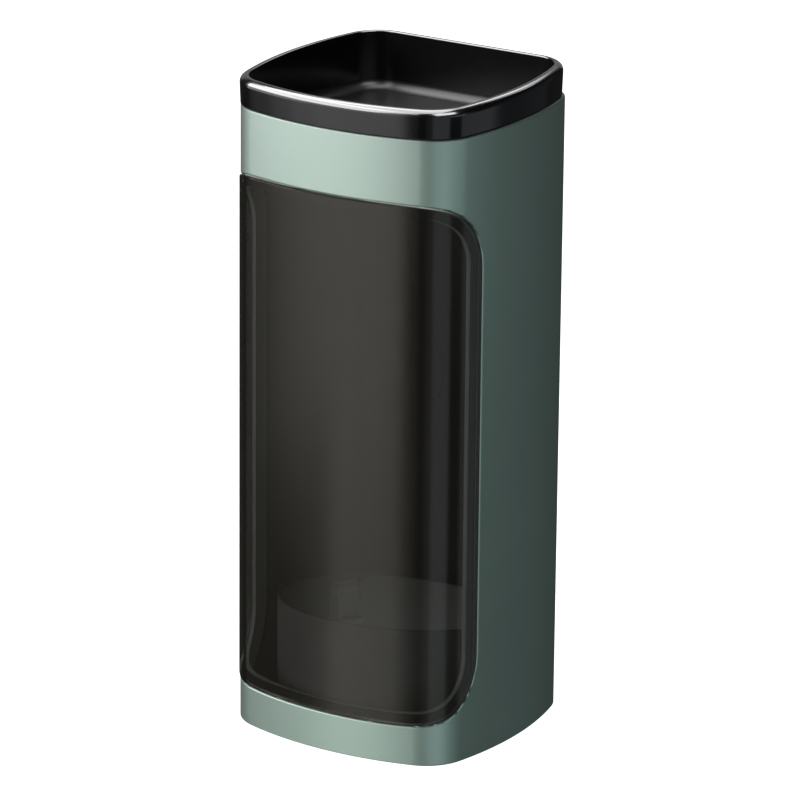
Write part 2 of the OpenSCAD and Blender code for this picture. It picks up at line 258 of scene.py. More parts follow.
def window_block(grow):
    """The window's side profile, grown all round and run through the whole width."""
    fore = front_y - 2 * win_corner_r
    turn_y = win_back_y - win_corner_r
    x = -1.5 * half_w
    piece = one_point("window_block", (x, fore, win_low - grow))
    pull(0, turn_y - fore, 0)
    swing((x, turn_y, win_low + win_corner_r), (1, 0, 0), math.pi / 2, 20)
    pull(0, 0, win_top - win_low - 2 * win_corner_r)
    swing((x, turn_y, win_top - win_corner_r), (1, 0, 0), math.pi / 2, 20)
    pull(0, fore - turn_y, 0)
    bpy.ops.mesh.select_all(action="SELECT")
    bpy.ops.mesh.edge_face_add()
    pull(3 * half_w, 0, 0)
    close_up()
    return piece


back_open_w = 50 * mm
back_open_low = 22.5 * mm
back_open_in = 24 * mm
back_open_top = shell_h - back_open_in
back_open_r = 6 * mm
back_screw_x = 20 * mm
back_screw_in = 6.5 * mm
back_screw_zs = [back_open_low - back_screw_in, back_open_top + back_screw_in]
screw_r = 1.3 * mm
screw_head_r = 2.65 * mm
screw_head_h = 1.4 * mm


def screw_cut(place, axis, length):
    """A countersunk hole as a tool solid."""
    piece = round_bar("screw_cut", screw_head_r, screw_r, screw_head_h, place, axis)
    combine(piece, round_bar("shank_cut", screw_r, screw_r, length, place, axis), "UNION")
    return piece


class Shade:
    """A shader value: arithmetic on it adds Math nodes, and node() adds any other node."""

    def __init__(self, tree, socket=None):
        self.tree = tree
        self.socket = socket

    def node(self, kind, settings=None, sockets=None, out=0):
        made = self.tree.nodes.new(kind)
        for name, value in (settings or {}).items():
            setattr(made, name, value)
        for name, value in (sockets or {}).items():
            if isinstance(value, Shade):
                self.tree.links.new(value.socket, made.inputs[name])
            else:
                made.inputs[name].default_value = value
        return Shade(self.tree, made.outputs[out] if len(made.outputs) else None)

    def math(self, operation, a, b):
        return self.node("ShaderNodeMath", {"operation": operation}, {0: a, 1: b})

    def __add__(self, other):
        return self.math("ADD", self, other)

    def __radd__(self, other):
        return self.math("ADD", other, self)

    def __mul__(self, other):
        return self.math("MULTIPLY", self, other)

    def __rmul__(self, other):
        return self.math("MULTIPLY", other, self)


def start_finish(name):
    """A new empty material, the handle that its nodes are added with, and the place on the piece."""
    material = bpy.data.materials.new(name)
    material.use_nodes = True
    material.node_tree.nodes.clear()
    shade = Shade(material.node_tree)
    return material, shade, shade.node("ShaderNodeTexCoord", {}, {}, "Object")


def grain(shade, place, size, detail=2):
    """Cloudy variation from 0 to 1 with features of a size."""
    return shade.node("ShaderNodeTexNoise", {}, {"Vector": place, "Scale": 1 / size, "Detail": detail})


def tint(shade, amount, a, b):
    """A colour that goes from a to b with an amount."""
    return shade.node("ShaderNodeMix", {"data_type": "RGBA"}, {0: amount, 6: a, 7: b}, 2)


def relief(shade, height, depth, strength=1.0):
    """A surface relief of a depth, as a normal."""
    return shade.node("ShaderNodeBump", {}, {"Height": height, "Distance": depth, "Strength": strength})


def show(shade, **sockets):
    """Closes a finish with a surface shader, its sockets named with underscores for spaces."""
    named = {name.replace("_", " "): value for name, value in sockets.items()}
    surface = shade.node("ShaderNodeBsdfPrincipled", {}, named)
    shade.node("ShaderNodeOutputMaterial", {}, {"Surface": surface})
    return surface


def put_on(finish, *pieces):
    """Gives pieces a finish in place of what they had."""
    for piece in pieces:
        piece.data.materials.clear()
        piece.data.materials.append(finish)


sage_lacquer, shade, place = start_finish("sage_lacquer")
flake = shade.node("ShaderNodeTexVoronoi", {}, {"Vector": place, "Scale": 1 / (0.35 * mm)}, "Color")
flake_lift = shade.node("ShaderNodeSeparateColor", {}, {"Color": flake}, 0)
drift = grain(shade, place, 30 * mm)
peel = grain(shade, place, 1.2 * mm)
show(shade,
     Base_Color=tint(shade, flake_lift * 0.5 + drift * 0.5,
                     (0.325, 0.452, 0.38, 1), (0.375, 0.502, 0.43, 1)),
     Metallic=0.8,
     Roughness=0.42 + flake_lift * 0.06 + drift * 0.04,
     Coat_Weight=0.5,
     Coat_Roughness=0.22,
     Normal=relief(shade, peel, 0.02 * mm, 0.25))

dark_primer, shade, place = start_finish("dark_primer")
cloud = grain(shade, place, 25 * mm)
spray = grain(shade, place, 0.5 * mm)
show(shade,
     Base_Color=tint(shade, cloud, (0.016, 0.017, 0.016, 1), (0.026, 0.027, 0.025, 1)),
     Roughness=0.5 + spray * 0.15,
     Normal=relief(shade, spray, 0.02 * mm, 0.3))

base_low, base_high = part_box("base_plate")
base_t = base_high.z
post_r = 4 * mm
post_top = 9 * mm
post_bite = 0.8 * mm
corner_posts = []
for centre, corner_r, angle in ((front_k, front_corner_r, -45), (rear_k, rear_corner_r, 45)):
    reach = corner_r - wall - post_r + post_bite
    spot = centre + reach * Vector((math.cos(math.radians(angle)), math.sin(math.radians(angle))))
    corner_posts += [spot, Vector((-spot.x, spot.y))]

shell = tube("painted_shell", 0, wall, 0, shell_h, [sage_lacquer, dark_primer])
for spot in corner_posts:
    post_h = post_top - base_t
    post = round_bar("post", post_r, post_r, post_h, (spot.x, spot.y, base_t), (0, 0, 1), 32)
    combine(shell, post, "UNION")
    bore = round_bar("bore", screw_r, screw_r, post_h, (spot.x, spot.y, base_t - mm), (0, 0, 1), 24)
    combine(shell, bore, "DIFFERENCE")
combine(shell, window_block(pane_gap), "DIFFERENCE")
combine(shell, rounded_plate("back_opening", back_open_w, back_open_low, back_open_top, back_open_r,
                             back_y - 2 * wall, back_y + wall), "DIFFERENCE")
round_outside(shell, edge_r, wall / 2)
for screw_x in (-back_screw_x, back_screw_x):
    for screw_z in back_screw_zs:
        combine(shell, screw_cut((screw_x, back_y, screw_z), (0, -1, 0), 2 * wall), "DIFFERENCE")
smooth(shell)
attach(shell, "housing")
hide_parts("shell")


# Window frame: a grey-green moulded carrier behind the shell's wall, round the whole opening.
# Its ledge inside the opening takes the pane, and the ledge's edge shows through the pane as a faint line.
grey_green, shade, place = start_finish("grey_green")
spark = grain(shade, place, 0.25 * mm, 3)
cloud = grain(shade, place, 18 * mm)
show(shade,
     Base_Color=tint(shade, cloud, (0.32, 0.36, 0.3, 1), (0.38, 0.42, 0.35, 1)),
     Roughness=0.48 + spark * 0.16,
     Normal=relief(shade, spark, 0.03 * mm, 0.5))
put_on(grey_green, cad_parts["window_frame"])


# Window tape: a black foam strip that bonds the pane to the carrier's ledge, all the way round.
# It is die-cut from sheet and pressed flat, so only its open-celled edge ever shows.
foam_tape, shade, place = start_finish("foam_tape")
cells = shade.node("ShaderNodeTexVoronoi", {}, {"Vector": place, "Scale": 1 / (0.3 * mm)}, "Distance")
show(shade,
     Base_Color=tint(shade, cells, (0.02, 0.02, 0.02, 1), (0.045, 0.045, 0.045, 1)),
     Roughness=0.85 + cells * 0.1,
     Normal=relief(shade, cells, 0.05 * mm, 0.4))
put_on(foam_tape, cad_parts["window_tape"])


# Window pane: a clear sheet tinted smoked brown, bent hot to wrap the front and both front corners.
# Its edge is polished round, it stands a little proud of the shell in an even gap, and its tint is
# deeper where it is seen edge-on.
smoked = []
for name, edge_tint in (("smoked_pane", 0.42), ("smoked_inside", 0)):
    finish, shade, place = start_finish(name)
    film = grain(shade, place, 14 * mm, 4)
    dust = grain(shade, place, 0.4 * mm, 2)
    facing = shade.node("ShaderNodeLayerWeight", {}, {"Blend": 0.5}, "Facing")
    edge_on = shade.node("ShaderNodeMapRange", {"interpolation_type": "SMOOTHSTEP"},
                         {"Value": facing, "From Min": 0.48, "From Max": 0.55})
    smoke = tint(shade, film, (0.012, 0.0115, 0.008, 1), (0.016, 0.0155, 0.011, 1))
    show(shade,
         Base_Color=tint(shade, edge_on, smoke, (0.005, 0.0048, 0.0035, 1)),
         Roughness=0.15 + film * 0.06 + dust * 0.02,
         Alpha=0.53 + edge_on * edge_tint,
         Specular_Tint=(1, 0.98, 0.88, 1),
         IOR=1.58)
    smoked.append(finish)
pane_proud = front_y - pane_low.y
pane_t = 1.5 * mm
pane_edge_r = 0.5 * mm
pane = tube("smoked_window", -pane_proud, pane_t, win_low - wall, win_top + wall, smoked)
combine(pane, window_block(0), "INTERSECT")
round_outside(pane, pane_edge_r, pane_t / 2)
smooth(pane)
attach(pane, "housing")
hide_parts("window_pane")


# Base plate: a black moulded plate let into the shell's foot, with the round throat in its middle.
# Four screws draw it to the shell's corner posts, and four more hold the collar down on it.
base_in = base_low.y - front_y
base_edge_r = 0.35 * mm
collar_low, collar_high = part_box("throat_collar")
collar_r = 40.4 * mm
foot_ring_r = (collar_high.x - collar_low.x) / 2
collar_y = (collar_low.y + collar_high.y) / 2
throat_r = 36.5 * mm
collar_post_out = 0.6 * mm
collar_post_at = collar_r + collar_post_out
collar_post_angles = [60, 120, 240, 300]

moulded_black, shade, place = start_finish("moulded_black")
spark = grain(shade, place, 0.25 * mm, 3)
cloud = grain(shade, place, 18 * mm)
show(shade,
     Base_Color=tint(shade, cloud, (0.012, 0.012, 0.013, 1), (0.022, 0.022, 0.023, 1)),
     Roughness=0.48 + spark * 0.16,
     Normal=relief(shade, spark, 0.03 * mm, 0.5))
base = plan_outline("foot_plate", base_in, 0)
bpy.ops.mesh.edge_face_add()
pull(0, 0, base_t)
close_up()
throat_cut = round_bar("throat_cut", throat_r, throat_r, 4 * base_t, (0, collar_y, -base_t), (0, 0, 1), 128)
combine(base, throat_cut, "DIFFERENCE")
base_screw_places = [(spot.x, spot.y, 0) for spot in corner_posts]
for angle in collar_post_angles:
    turn = math.radians(angle)
    reach = Vector((math.cos(turn), math.sin(turn))) * collar_post_at
    base_screw_places.append((reach.x, collar_y + reach.y, 0))
for spot in base_screw_places:
    combine(base, screw_cut(spot, (0, 0, 1), 2 * base_t), "DIFFERENCE")
ease(base, base_edge_r)
put_on(moulded_black, base)
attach(base, "housing")
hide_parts("base_plate")


# Throat collar: a satin grey moulding that the stack of cups stands in, open at the top and bottom.
# Its wall draws in to a foot ring on the base plate, its rim falls to the back, and three pairs of
# lugs inside carry the finger pins.
collar_wall = 1.6 * mm
collar_in_r = collar_r - collar_wall
collar_foot_r = 36.8 * mm
collar_top = 41 * mm
collar_tilt = math.radians(7.6)
foot_ring_t = 2 * mm
foot_curve_h = 10 * mm
collar_edge_r = 0.3 * mm
moulded_angle = 40
curve_steps = 6


def foot_curve(r, t):
    """Radius of the collar's wall as it draws in to its foot, with t from 0 at the ring to 1."""
    return r - (collar_in_r - collar_foot_r) * (1 - math.sin(t * math.pi / 2))


inside = [(foot_curve(collar_in_r, i / curve_steps), base_t + foot_curve_h * i / curve_steps)
          for i in range(curve_steps + 1)]
outside = [(foot_curve(collar_r, i / curve_steps), base_t + foot_curve_h * i / curve_steps)
           for i in range(2, curve_steps + 1)]
collar_blank_top = 1.4 * collar_top
section = inside + [(collar_in_r, collar_blank_top), (collar_r, collar_blank_top)] + outside[::-1] + [
    (foot_curve(collar_r, 1 / curve_steps), base_t + foot_ring_t),
    (foot_ring_r, base_t + foot_ring_t),
    (foot_ring_r, base_t),
    (collar_foot_r, base_t)]
collar = one_point("grey_collar", (section[0][0], collar_y, section[0][1]))
for (r0, z0), (r1, z1) in zip(section, section[1:]):
    pull(r1 - r0, 0, z1 - z0)
bpy.ops.mesh.select_all(action="SELECT")
swing((0, collar_y, 0), (0, 0, 1), 2 * math.pi, 128)
bpy.ops.mesh.select_all(action="SELECT")
bpy.ops.mesh.remove_doubles(threshold=0.01 * mm)
bpy.ops.mesh.select_all(action="SELECT")
bpy.ops.mesh.bisect(plane_co=(0, collar_y, collar_top),
                    plane_no=(0, math.sin(collar_tilt), math.cos(collar_tilt)),
                    clear_outer=True, use_fill=False)
bpy.ops.mesh.bridge_edge_loops()
close_up()

# Finger places, and the lugs on the collar's inner wall
finger_w = 8 * mm
finger_gap = 0.3 * mm
pin_r = 0.75 * mm
hub_wall = 0.85 * mm
hub_r = pin_r + hub_wall
pivot_z = 34.5 * mm
pivot_u = math.sqrt(collar_in_r ** 2 - (finger_w / 2) ** 2) - hub_r - finger_gap
lug_w = 2.5 * mm
lug_h = 4.4 * mm
lug_bite = 0.6 * mm
lug_out = finger_w / 2 + finger_gap + lug_w
finger_angles = {"front": 270, "right": 30, "left": 150}


def at_angle(piece, angle):
    """Turns a piece made in the collar's XZ plane round the collar's axis to its place."""
    pick(piece)
    piece.rotation_mode = "XYZ"
    piece.rotation_euler = (0, 0, math.radians(angle))
    piece.location = (0, collar_y, 0)
    bpy.ops.object.transform_apply(location=True, rotation=True, scale=True)
    return piece


def block(name, low, high):
    """A square block between two corners."""
    low, high = Vector(low), Vector(high)
    bpy.ops.object.select_all(action="DESELECT")
    bpy.ops.mesh.primitive_cube_add(size=1, location=(low + high) / 2)
    piece = bpy.context.object
    piece.name = name
    piece.scale = high - low
    bpy.ops.object.transform_apply(location=True, rotation=False, scale=True)
    return piece


for angle in finger_angles.values():
    for side in (-1, 1):
        mid = side * (lug_out - lug_w / 2)
        lug = block("lug", (pivot_u - hub_r, mid - lug_w / 2, pivot_z - lug_h / 2),
                    (collar_in_r + lug_bite, mid + lug_w / 2, pivot_z + lug_h / 2))
        combine(collar, at_angle(lug, angle), "UNION")
    bore = round_bar("bore", pin_r, pin_r, 2 * lug_out, (pivot_u, -lug_out, pivot_z), (0, 1, 0), 24)
    combine(collar, at_angle(bore, angle), "DIFFERENCE")
collar_post_r = 3 * mm
collar_post_top = 8.5 * mm
for angle in collar_post_angles:
    post = round_bar("post", collar_post_r, collar_post_r, collar_post_top - base_t,
                     (collar_post_at, 0, base_t), (0, 0, 1), 32)
    combine(collar, at_angle(post, angle), "UNION")
ease(collar, collar_edge_r, 3, moulded_angle)
grey_moulding, shade, place = start_finish("grey_moulding")
spark = grain(shade, place, 0.3 * mm, 3)
cloud = grain(shade, place, 22 * mm)
show(shade,
     Base_Color=tint(shade, cloud, (0.3, 0.3, 0.285, 1), (0.36, 0.36, 0.34, 1)),
     Roughness=0.4 + spark * 0.15,
     Normal=relief(shade, spark, 0.02 * mm, 0.4))
put_on(grey_moulding, collar)
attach(collar, "housing")
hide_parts("throat_collar")


# Fingers: three pale moulded strips that lean in under the lowest cup's rim and hold it by a ledge.
# Each turns on a steel pin through its hub, and a hairpin leaf spring behind it pushes it back in.
finger_t = 1.4 * mm
finger_len = 13 * mm
finger_foot = 2 * mm
finger_lean = math.radians(12)
finger_tail = 2.6 * mm
pin_fit = 0.05 * mm
hub_bore_r = pin_r + pin_fit
foot_h = 2 * mm
foot_chamfer = 0.6 * mm
finger_edge_r = 0.22 * mm
inner = -finger_t / 2
tip = inner - finger_foot
finger_section = [
    (inner, finger_tail),
    (inner, foot_h - finger_len),
    (tip, foot_h - finger_len),
    (tip, foot_chamfer - finger_len),
    (tip + foot_chamfer, -finger_len),
    (-inner, -finger_len),
    (-inner, finger_tail)]
pale_moulding, shade, place = start_finish("pale_moulding")
spark = grain(shade, place, 0.3 * mm, 3)
cloud = grain(shade, place, 9 * mm)
show(shade,
     Base_Color=tint(shade, cloud, (0.58, 0.57, 0.54, 1), (0.66, 0.65, 0.62, 1)),
     Roughness=0.36 + spark * 0.14,
     Normal=relief(shade, spark, 0.02 * mm, 0.4))
for which, angle in finger_angles.items():
    finger = one_point(which + "_strip", (finger_section[0][0], -finger_w / 2, finger_section[0][1]))
    for (u0, z0), (u1, z1) in zip(finger_section, finger_section[1:]):
        pull(u1 - u0, 0, z1 - z0)
    bpy.ops.mesh.select_all(action="SELECT")
    bpy.ops.mesh.edge_face_add()
    pull(0, finger_w, 0)
    close_up()
    finger.rotation_euler = (0, finger_lean, 0)
    bpy.ops.object.transform_apply(location=False, rotation=True, scale=False)
    hub = round_bar("hub", hub_r, hub_r, finger_w, (0, -finger_w / 2, 0), (0, 1, 0), 32)
    combine(finger, hub, "UNION")
    hub_bore = round_bar("hub_bore", hub_bore_r, hub_bore_r, 2 * finger_w, (0, -finger_w, 0), (0, 1, 0), 24)
    combine(finger, hub_bore, "DIFFERENCE")
    ease(finger, finger_edge_r, 3, moulded_angle)
    finger.location = (pivot_u, 0, pivot_z)
    bpy.ops.object.transform_apply(location=True, rotation=False, scale=False)
    at_angle(finger, angle)
    put_on(pale_moulding, finger)
    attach(finger, which + "_finger")
    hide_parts("finger_" + which)


# Pins, springs and screws: cut steel wire, hairpins of spring strip and countersunk screws.
# All are bright steel with fine scratches; the pins run through the collar's lugs, each spring stands
# between the collar's wall and its finger, and the screws hold the base, the collar and the back.
bright_steel, shade, place = start_finish("bright_steel")
scratch = grain(shade, place, 0.15 * mm, 2)
cloud = grain(shade, place, 4 * mm)
show(shade,
     Base_Color=tint(shade, cloud, (0.5, 0.5, 0.5, 1), (0.62, 0.62, 0.61, 1)),
     Metallic=1.0,
     Roughness=0.24 + scratch * 0.16,
     Normal=relief(shade, scratch, 0.01 * mm, 0.3))
for node in ("finger_pins", "spring_front", "spring_right", "spring_left",
             "base_screws", "collar_screws", "back_screws"):
    put_on(bright_steel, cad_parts[node])


# Back panel: a black moulded insert that closes the service opening, with a flange inside the wall.
# Two blind keyholes with bosses inside take wall screws and four pockets take the magnets; four
# screws draw the flange up against the shell's wall.
panel_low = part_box("back_panel")[0]
insert_gap = 0.3 * mm
panel_depth = 4.5 * mm
panel_inner_y = back_y - panel_depth
flange_side = 2.5 * mm
flange_end = 12 * mm
keyhole_z = 108 * mm
keyhole_x = 14 * mm
keyhole_r = 4.5 * mm
keyslot_r = 2.2 * mm
keyslot_len = 9 * mm
keyhole_lip = 1.8 * mm
keyway_r = 5.2 * mm
keyhole_wall = 1.1 * mm
keyhole_cover = 1.3 * mm
keyway_depth = 3.4 * mm
lip_y = back_y - keyhole_lip
way_y = lip_y - keyway_depth
magnet_low, magnet_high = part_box("magnets")
magnet_r = 9 * mm
magnet_xs = (magnet_low.x + magnet_r, magnet_high.x - magnet_r)
magnet_zs = (magnet_low.z + magnet_r, magnet_high.z - magnet_r)
magnet_fit = 0.1 * mm
pocket_r = magnet_r + magnet_fit
pocket_reach = 8 * mm
shank_reach = 7 * mm

panel = rounded_plate("rear_panel", back_open_w + 2 * flange_side, back_open_low - flange_end,
                      back_open_top + flange_end, back_open_r, panel_inner_y, back_y - wall)
insert = rounded_plate("insert", back_open_w - 2 * insert_gap, back_open_low + insert_gap,
                       back_open_top - insert_gap, back_open_r - insert_gap, panel_inner_y + mm, back_y)
combine(panel, insert, "UNION")
for spot_x in magnet_xs:
    for spot_z in magnet_zs:
        pocket = round_bar("pocket", pocket_r, pocket_r, pocket_reach, (spot_x, magnet_low.y, spot_z),
                           (0, 1, 0), 64)
        combine(panel, pocket, "DIFFERENCE")


def keyslot(x, entry_r, slot_r, y0, y1):
    """A round entry with a slot rising from it, as a tool solid between two depths."""
    neck = math.asin(slot_r / entry_r)
    rise = keyslot_len - entry_r * math.cos(neck)
    piece = one_point("keyslot", (x + slot_r, y0, keyhole_z + keyslot_len - rise))
    pull(0, 0, rise)
    swing((x, y0, keyhole_z + keyslot_len), (0, -1, 0), math.pi, 16)
    pull(0, 0, -rise)
    swing((x, y0, keyhole_z), (0, -1, 0), 2 * (math.pi - neck), 40)
    bpy.ops.mesh.select_all(action="SELECT")
    bpy.ops.mesh.remove_doubles(threshold=0.01 * mm)
    bpy.ops.mesh.edge_face_add()
    pull(0, y1 - y0, 0)
    close_up()
    return piece


for side in (-keyhole_x, keyhole_x):
    boss_r = keyway_r + keyhole_wall
    combine(panel, keyslot(side, boss_r, boss_r, way_y - keyhole_cover, panel_inner_y + mm), "UNION")
    combine(panel, keyslot(side, keyway_r, keyway_r, way_y, lip_y), "DIFFERENCE")
    combine(panel, keyslot(side, keyhole_r, keyslot_r, lip_y - mm, back_y + mm), "DIFFERENCE")
back_post_r = 3.5 * mm
panel_edge_r = 0.3 * mm
for screw_x in (-back_screw_x, back_screw_x):
    for screw_z in back_screw_zs:
        post = round_bar("post", back_post_r, back_post_r, back_y - wall - mm - panel_low.y,
                         (screw_x, panel_low.y, screw_z), (0, 1, 0))
        combine(panel, post, "UNION")
        shank = round_bar("shank", screw_r, screw_r, shank_reach, (screw_x, back_y, screw_z), (0, -1, 0))
        combine(panel, shank, "DIFFERENCE")
ease(panel, panel_edge_r)
put_on(moulded_black, panel)
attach(panel, "housing")
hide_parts("back_panel")


# Magnets and pads: four nickel-plated discs pressed into the panel's pockets hold the dispenser to a
# steel side, and a thin ribbed rubber pad glued over each keeps it from sliding or scratching.
nickel_plate, shade, place = start_finish("nickel_plate")
cloud = grain(shade, place, 3 * mm)
show(shade,
     Base_Color=tint(shade, cloud, (0.58, 0.56, 0.52, 1), (0.66, 0.64, 0.6, 1)),
     Metallic=1.0,
     Roughness=0.18 + cloud * 0.12)
put_on(nickel_plate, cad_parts["magnets"])

pad_low, pad_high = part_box("magnet_pads")
pad_grooves = 3
groove_w = 0.7 * mm
groove_depth = 0.25 * mm
groove_first = 0.85
groove_step = 0.25
pad_edge_r = 0.1 * mm
pads = None
for spot_x in magnet_xs:
    for spot_z in magnet_zs:
        pad = round_bar("rubber_pads", magnet_r, magnet_r, pad_high.y - pad_low.y,
                        (spot_x, pad_low.y, spot_z), (0, 1, 0), 64)
        for ring in range(pad_grooves):
            outer_r = magnet_r * (groove_first - groove_step * ring)
            core_r = outer_r - groove_w
            groove = round_bar("groove", outer_r, outer_r, mm, (spot_x, pad_high.y - groove_depth, spot_z),
                               (0, 1, 0), 64)
            core = round_bar("core", core_r, core_r, 3 * mm, (spot_x, pad_high.y - 1.5 * mm, spot_z),
                             (0, 1, 0), 64)
            combine(groove, core, "DIFFERENCE")
            combine(pad, groove, "DIFFERENCE")
        ease(pad, pad_edge_r, 2)
        if pads is None:
            pads = pad
        else:
            pick(pads)
            pad.select_set(True)
            bpy.ops.object.join()
pad_rubber, shade, place = start_finish("pad_rubber")
spark = grain(shade, place, 0.2 * mm, 3)
cloud = grain(shade, place, 6 * mm)
show(shade,
     Base_Color=tint(shade, cloud, (0.014, 0.014, 0.014, 1), (0.03, 0.03, 0.029, 1)),
     Roughness=0.78 + spark * 0.15,
     Normal=relief(shade, spark, 0.03 * mm, 0.5))
put_on(pad_rubber, pads)
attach(pads, "housing")
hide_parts("magnet_pads")


# Lid tray: a black moulding that drops into the shell's top and lifts straight off.
# Its band flares a little to an oval rim, polished like the band; the well's walls are satin, and its
# floor is duller with a wide fillet all round.
tray_low, tray_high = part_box("top_tray")
seat_gap = 0.3 * mm
rim_rise = 0.4 * mm
tray_z = shell_h + seat_gap
tray_top = tray_high.z + rim_rise
tray_set_in = 0.5 * mm
tray_forward = 1 * mm
band_swell = 0.25 * mm
rim_outer_w = 2.3 * mm
rim_outer_h = 2.5 * mm
rim_crest = 0.45 * mm
rim_inner_r = 0.45 * mm
rim_fall = math.radians(0.95)
band_h = tray_top - rim_outer_h - tray_z
floor_fillet_r = 3.5 * mm
well_draft = 0.4 * mm
tray_floor_t = 1.2 * mm
tray_floor_z = tray_low.z + tray_floor_t
plug_in = 1.8 * mm
plug_edge_r = 0.8 * mm
plug_draft = 0.1 * mm
tray_edge_r = 0.25 * mm
tray_finishes = []
for name, satin, bend in (("gloss_black", 0.12, 1.46),
                          ("satin_black", 0.18, 1.3),
                          ("dull_black", 0.32, 1.22)):
    finish, shade, place = start_finish(name)
    haze = grain(shade, place, 16 * mm, 3)
    speck = grain(shade, place, 0.5 * mm, 2)
    show(shade,
         Base_Color=tint(shade, haze, (0.0022, 0.0022, 0.0025, 1), (0.004, 0.004, 0.0043, 1)),
         Roughness=satin + haze * 0.05 + speck * 0.02,
         Normal=relief(shade, speck, 0.01 * mm, 0.08),
         IOR=bend)
    tray_finishes.append(finish)


def round_steps(inwards, along, steps, rise_first):
    """Steps inwards and along for a quarter of an oval that starts along the wall or across it."""
    made = []
    for i in range(steps):
        a, b = (math.pi / 2 * k / steps for k in (i, i + 1))
        grow, fade = math.sin(b) - math.sin(a), math.cos(a) - math.cos(b)
        made.append((inwards * fade, along * grow) if rise_first else (inwards * grow, along * fade))
    return made


def step_in(steps):
    """Insets the selected face step by step, each with its distance inwards and along its normal."""
    for inwards, along_normal in steps:
        bpy.ops.mesh.inset(thickness=inwards, depth=along_normal)


def pick_cap(piece, up):
    """Selects the flat cap that faces up, or the one that faces down."""
    bpy.ops.object.mode_set(mode="OBJECT")
    for face in piece.data.polygons:
        face.select = len(face.vertices) > 4 and (face.normal.z > 0) == up
    bpy.ops.object.mode_set(mode="EDIT")


def tilt(angle, z):
    """Turns what is selected about the back of the rim at a height, its front falling."""
    bpy.ops.transform.rotate(value=-angle, orient_axis="X", center_override=(0, tray_high.y, z))


tray = plan_outline("gloss_tray", tray_set_in, tray_z)
for finish in tray_finishes:
    tray.data.materials.append(finish)
bpy.ops.mesh.edge_face_add()
bpy.ops.transform.translate(value=(0, -tray_forward, 0))
pull(0, 0, band_h)
flare = 1 + band_swell / half_w
bpy.ops.transform.resize(value=(flare, flare, 1), center_override=(0, -tray_forward, 0))
tilt(rim_fall, tray_top - rim_outer_h)
bpy.ops.mesh.select_all(action="SELECT")
bpy.ops.mesh.normals_make_consistent(inside=False)
bpy.ops.mesh.select_mode(type="FACE")
pick_cap(tray, True)
step_in(round_steps(rim_outer_w, rim_outer_h, 9, rise_first=True))
step_in([(rim_crest, 0)])
step_in([(i, -d) for i, d in round_steps(rim_inner_r, rim_inner_r, 5, rise_first=False)])
tray.active_material_index = 1
bpy.ops.object.material_slot_assign()
wall_drop = tray_top - rim_inner_r - tray_floor_z - floor_fillet_r
step_in([(well_draft, -wall_drop)])
tray.active_material_index = 2
bpy.ops.object.material_slot_assign()
tilt(-rim_fall, tray_floor_z + floor_fillet_r)
step_in([(i, -d) for i, d in round_steps(floor_fillet_r, floor_fillet_r, 8, rise_first=True)])
pick_cap(tray, False)
step_in([(plug_in - tray_set_in, 0)])
bpy.ops.transform.translate(value=(0, tray_forward, 0))
step_in([(plug_draft, tray_z - tray_low.z - plug_edge_r)])
step_in(round_steps(plug_edge_r, plug_edge_r, 4, rise_first=True))
bpy.ops.mesh.select_mode(type="VERT")
close_up()
ease(tray, tray_edge_r, 2, 50)
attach(tray, "tray")
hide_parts("top_tray")


# Studio: a plain white floor, tall soft panels to the front left and the right, a weak fill behind,
# high lamps for the tray's rim, and a camera at the photograph's viewing angle.
bpy.ops.object.select_all(action="DESELECT")
bpy.ops.mesh.primitive_plane_add(size=30, location=(0, 0, -0.5 * mm))
floor = bpy.context.object
floor.name = "floor"
floor.visible_diffuse = False
floor.visible_glossy = False
floor.visible_shadow = False
floor_white, shade, place = start_finish("floor_white")
cloud = grain(shade, place, 0.4)
show(shade,
     Base_Color=tint(shade, cloud, (0.88, 0.88, 0.88, 1), (0.9, 0.9, 0.9, 1)),
     Roughness=0.9,
     Emission_Color=(1, 1, 1, 1),
     Emission_Strength=1.2)
put_on(floor_white, floor)


def soft_panel(name, azimuth, elevation, width, height, brightness, colour=(1, 1, 1)):
    """A soft panel a metre away, at an azimuth right of the front, facing the object's middle."""
    a, e = math.radians(azimuth), math.radians(elevation)
    out = Vector((math.sin(a) * math.cos(e), -math.cos(a) * math.cos(e), math.sin(e)))
    bpy.ops.object.select_all(action="DESELECT")
    bpy.ops.object.light_add(type="AREA", location=out + Vector((0, 0, shell_h)))
    lamp = bpy.context.object
    lamp.name = name
    lamp.data.shape = "RECTANGLE"
    lamp.data.size = width
    lamp.data.size_y = height
    lamp.data.energy = brightness * math.pi * width * height
    lamp.data.color = colour
    lamp.rotation_euler = (-out).to_track_quat("-Z", "Y").to_euler()
    return lamp


wall_distance = 1.1


def wall_panel(name, azimuths, heights, brightness, colour=(1, 1, 1)):
    """An upright soft panel between two azimuths right of the front and two heights."""
    a = math.radians(sum(azimuths) / 2)
    out = wall_distance * Vector((math.sin(a), -math.cos(a), 0))
    half = math.radians(azimuths[1] - azimuths[0]) / 2
    low, high = heights
    lamp = soft_panel(name, 0, 0, 2 * wall_distance * math.tan(half), high - low, brightness, colour)
    lamp.location = out + Vector((0, 0, (low + high) / 2))
    lamp.rotation_euler = (-out).to_track_quat("-Z", "Y").to_euler()
    return lamp


